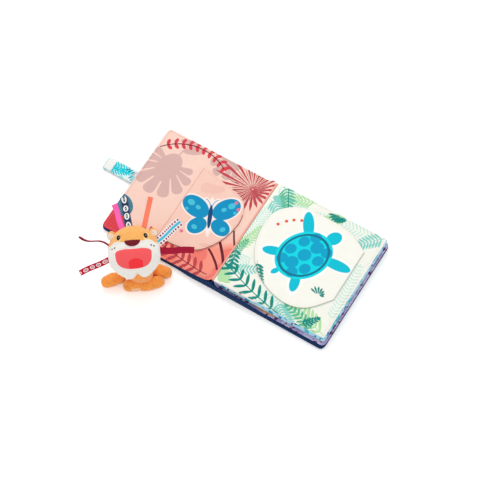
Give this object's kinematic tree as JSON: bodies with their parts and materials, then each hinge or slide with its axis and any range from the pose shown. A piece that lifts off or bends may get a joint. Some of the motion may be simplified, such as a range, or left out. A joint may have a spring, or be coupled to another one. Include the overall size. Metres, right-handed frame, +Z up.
{
  "type": "crinkle cloth book",
  "caption": "Padded cloth baby book lying open, with turning leaves, lift-up flaps, a closing tab and a stuffed toy lion with ribbon tags beside it.",
  "frame": {"origin": "on the surface that the book lies on, under the seam and halfway along it", "axes": "+X from the left page to the right page, +Y from the near edge to the far edge, +Z up"},
  "size_m": [0.4161, 0.2824, 0.1084],
  "materials": {
    "navy_cloth": "woven cloth",
    "wadding": "woven cloth",
    "coral_print": "woven cloth",
    "lilac_print": "woven cloth",
    "cream_print": "woven cloth",
    "pale_blue_print": "woven cloth",
    "pink_print": "woven cloth",
    "crinkle_film": "matte film",
    "tan_binding": "woven cloth",
    "turquoise_print": "woven cloth",
    "hook_tape": "hook tape",
    "loop_tape": "loop tape",
    "orange_plush": "short pile",
    "paw_plush": "short pile",
    "white_plush": "short pile",
    "mouth_felt": "woven cloth",
    "nose_felt": "woven cloth",
    "eye_thread": "woven cloth",
    "red_ribbon": "woven cloth",
    "burgundy_ribbon": "woven cloth",
    "pink_ribbon": "woven cloth",
    "orange_ribbon": "woven cloth",
    "white_ribbon": "woven cloth"
  },
  "bodies": {
    "back_cover": {"back_cover_cloth": "navy_cloth", "back_cover_wadding": "wadding", "back_cover_lining": "lilac_print", "back_gutter_cloth": "lilac_print", "loop_patch": "loop_tape", "rear_patch_edge": "tan_binding", "rear_patch_cloth": "cream_print", "spine_roll": "navy_cloth", "spine_seam": "cream_print"},
    "front_cover": {"front_cover_cloth": "navy_cloth", "front_cover_wadding": "wadding", "front_cover_lining": "coral_print", "front_gutter_cloth": "coral_print"},
    "leaf_a": {"leaf_a_front_cloth": "cream_print", "leaf_a_crinkle_film": "crinkle_film", "leaf_a_back_cloth": "pale_blue_print"},
    "leaf_b": {"leaf_b_front_cloth": "pale_blue_print", "leaf_b_crinkle_film": "crinkle_film", "leaf_b_back_cloth": "pale_blue_print"},
    "left_flap": {"left_flap_front_cloth": "pink_print", "left_flap_crinkle_film": "crinkle_film", "left_flap_back_cloth": "pink_print"},
    "right_flap": {"right_flap_front_cloth": "cream_print", "right_flap_crinkle_film": "crinkle_film", "right_flap_back_cloth": "pale_blue_print"},
    "tab_root": {"tab_root_print": "turquoise_print", "tab_root_backing": "navy_cloth"},
    "tab_tip": {"tab_tip_print": "turquoise_print", "tab_tip_backing": "navy_cloth", "tab_hook_patch": "hook_tape"},
    "lion": {"lion_head": "orange_plush", "lion_muzzle": "white_plush", "lion_mouth": "mouth_felt", "lion_nose": "nose_felt", "lion_left_eye": "eye_thread", "lion_right_eye": "eye_thread", "lion_left_ear": "orange_plush", "lion_right_ear": "orange_plush", "lion_body": "paw_plush", "lion_left_arm": "paw_plush", "lion_right_arm": "paw_plush", "lion_left_foot": "paw_plush", "lion_right_foot": "paw_plush", "ribbon_thin_burgundy": "burgundy_ribbon", "ribbon_red": "red_ribbon", "ribbon_pink": "pink_ribbon", "ribbon_navy": "navy_cloth", "ribbon_orange": "orange_ribbon", "ribbon_white": "white_ribbon", "ribbon_burgundy": "burgundy_ribbon"}
  },
  "joints": [
    {"name": "front_cover_turn", "type": "hinge", "parent": "back_cover", "child": "front_cover", "pos_m": [0, 0, 0.01875], "axis": [0, -1, 0], "range_deg": [-180, 0], "deforming": ["ribbon_pink", "ribbon_navy", "ribbon_orange", "ribbon_white", "ribbon_burgundy"]},
    {"name": "leaf_a_turn", "type": "hinge", "parent": "back_cover", "child": "leaf_a", "pos_m": [0, 0, 0.01875], "axis": [0, -1, 0], "range_deg": [0, 180]},
    {"name": "leaf_b_turn", "type": "hinge", "parent": "back_cover", "child": "leaf_b", "pos_m": [0, 0, 0.01875], "axis": [0, -1, 0], "range_deg": [0, 90]},
    {"name": "left_flap_lift", "type": "hinge", "parent": "front_cover", "child": "left_flap", "pos_m": [-0.1044, 0, 0.00935], "axis": [0, -1, 0], "range_deg": [0, 180]},
    {"name": "right_flap_lift", "type": "hinge", "parent": "leaf_a", "child": "right_flap", "pos_m": [0.162, 0, 0.02545], "axis": [0, 1, 0], "range_deg": [0, 180]},
    {"name": "tab_fold", "type": "hinge", "parent": "front_cover", "child": "tab_root", "pos_m": [-0.1836, 0, 0.0045], "axis": [0, -1, 0], "range_deg": [-90, 0]},
    {"name": "tab_tip_fold", "type": "hinge", "parent": "tab_root", "child": "tab_tip", "pos_m": [-0.2181, 0, 0.0045], "axis": [0, -1, 0], "range_deg": [-90, 0]},
    {"name": "lion_lift", "type": "slide", "parent": "back_cover", "child": "lion", "axis": [0, 0, 1], "range_m": [0, 0.15]}
  ],
  "couplings": [
    {"joint": "leaf_b_turn", "follows": "leaf_a_turn", "ratio": 0.5}
  ]
}
